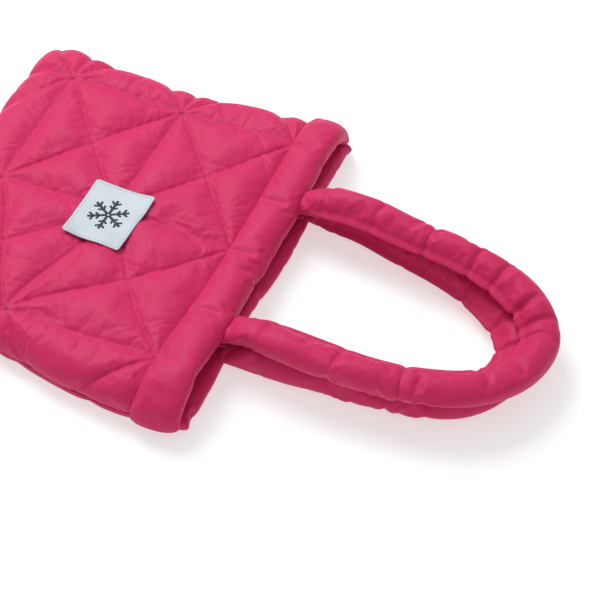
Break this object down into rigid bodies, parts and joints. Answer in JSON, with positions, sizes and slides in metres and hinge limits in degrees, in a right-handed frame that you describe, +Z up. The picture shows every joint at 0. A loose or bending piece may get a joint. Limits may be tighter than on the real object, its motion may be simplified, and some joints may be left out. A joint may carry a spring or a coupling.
{
  "type": "skate bag",
  "caption": "Quilted padded tote for ice skates, lying on its back: padded hems round an open mouth, tubular handles and a woven label.",
  "frame": {"origin": "middle of the back panel's flat underside, on the surface that the bag lies on", "axes": "+X from the bottom seam to the mouth and handles, +Y to the far side seam, +Z up through the lying bag"},
  "size_m": [0.534, 0.34, 0.0527],
  "materials": {
    "shell_cloth": "bright pink padded nylon, soft sheen",
    "lining_cloth": "pink woven lining, matt",
    "wadding": "white polyester wadding",
    "binding_tape": "pink woven tape",
    "label_cloth": "cool white woven satin",
    "label_thread": "cool white sewing thread",
    "label_ink": "dark woven thread",
    "snap_metal": "nickel plate"
  },
  "bodies": {
    "back": {"back_shell": "shell_cloth", "back_wadding": "wadding", "back_lining": "lining_cloth", "back_hem_cover": "shell_cloth", "back_hem_wadding": "wadding", "back_handle_tab_far": "shell_cloth", "back_handle_tab_near": "shell_cloth", "side_binding_far": "binding_tape", "side_binding_near": "binding_tape", "bottom_binding": "binding_tape", "snap_stud": "snap_metal"},
    "front": {"front_shell": "shell_cloth", "front_wadding": "wadding", "front_lining": "lining_cloth", "front_hem_cover": "shell_cloth", "front_hem_wadding": "wadding", "front_handle_tab_far": "shell_cloth", "front_handle_tab_near": "shell_cloth", "snap_socket": "snap_metal", "label": "label_cloth", "label_stitching": "label_thread", "label_motif": "label_ink"},
    "front_handle": {"front_handle_cover_far": "shell_cloth", "front_handle_cover_bend": "shell_cloth", "front_handle_cover_near": "shell_cloth", "front_handle_core": "wadding"},
    "back_handle": {"back_handle_cover_far": "shell_cloth", "back_handle_cover_bend": "shell_cloth", "back_handle_cover_near": "shell_cloth", "back_handle_core": "wadding"}
  },
  "joints": [
    {"name": "mouth_opening", "type": "hinge", "parent": "back", "child": "front", "pos_m": [-0.145, 0, 0.012], "axis": [0, -1, 0], "range_deg": [0, 12]},
    {"name": "front_handle_swing", "type": "hinge", "parent": "front", "child": "front_handle", "pos_m": [0.126, 0, 0.044], "axis": [0, -1, 0], "range_deg": [0, 150]},
    {"name": "back_handle_swing", "type": "hinge", "parent": "back", "child": "back_handle", "pos_m": [0.126, 0, 0], "axis": [0, -1, 0], "range_deg": [-150, 0]}
  ]
}
